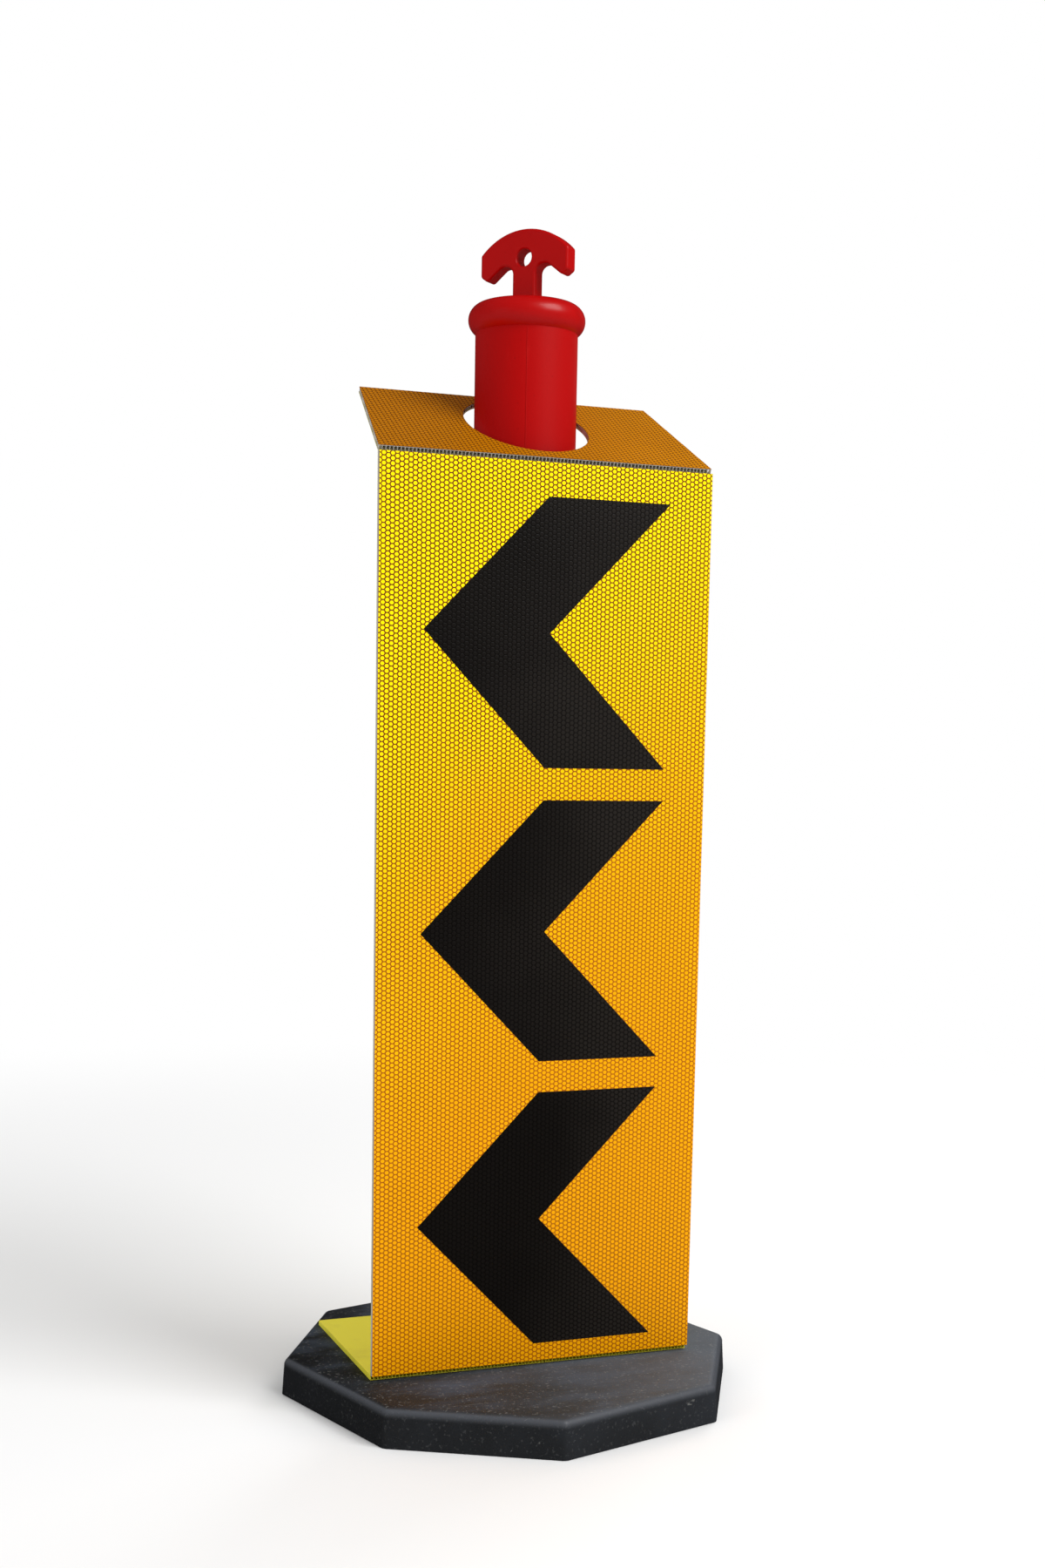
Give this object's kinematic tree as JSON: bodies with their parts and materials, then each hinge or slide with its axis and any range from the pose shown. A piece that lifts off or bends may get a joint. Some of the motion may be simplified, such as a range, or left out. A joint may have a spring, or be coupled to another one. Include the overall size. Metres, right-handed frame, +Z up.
{
  "type": "delineator post",
  "caption": "T-top plastic post in an octagonal rubber foot, with a folded fluted-plastic sleeve that carries three black chevrons on honeycomb reflective sheeting.",
  "frame": {"origin": "post axis at the ground, the centre of the rubber foot's underside", "axes": "+Z up along the post, -Y the way the chevron panel faces, +X along the panel away from where the chevrons point"},
  "size_m": [0.4678, 0.4678, 1.15],
  "materials": {
    "red_plastic": "satin moulded polyethylene",
    "black_rubber": "moulded recycled rubber, scuffed",
    "fluted_plastic": "twin-wall polypropylene sheet",
    "yellow_sheeting": "honeycomb reflective sheeting",
    "black_film": "satin vinyl film",
    "white_sheeting": "honeycomb reflective sheeting"
  },
  "bodies": {
    "post": {"post_tube": "red_plastic", "post_cap": "red_plastic", "t_handle": "red_plastic", "reflective_band_upper": "white_sheeting", "reflective_band_lower": "white_sheeting"},
    "base": {"rubber_base": "black_rubber"},
    "sleeve": {"front_board": "fluted_plastic", "front_sheeting": "yellow_sheeting", "chevron_upper": "black_film", "chevron_middle": "black_film", "chevron_lower": "black_film"},
    "top_flap": {"top_flap_board": "fluted_plastic", "top_flap_sheeting": "yellow_sheeting"},
    "bottom_flap": {"bottom_flap_board": "fluted_plastic"}
  },
  "joints": [
    {"name": "base_turn", "type": "hinge", "parent": "post", "child": "base", "pos_m": [0, 0, 0], "axis": [0, 0, 1], "continuous": true},
    {"name": "sleeve_lift", "type": "slide", "parent": "post", "child": "sleeve", "axis": [0, 0, 1], "range_m": [0, 0.054]},
    {"name": "top_flap_fold", "type": "hinge", "parent": "sleeve", "child": "top_flap", "pos_m": [0, -0.067, 0.9233], "axis": [1, 0, 0], "range_deg": [-60, 0], "stiffness_Nm_per_rad": 0.3, "springref_deg": 57.3},
    {"name": "bottom_flap_fold", "type": "hinge", "parent": "sleeve", "child": "bottom_flap", "pos_m": [0, -0.067, 0.0433], "axis": [1, 0, 0], "range_deg": [0, 20], "stiffness_Nm_per_rad": 0.2, "springref_deg": -45.84}
  ]
}
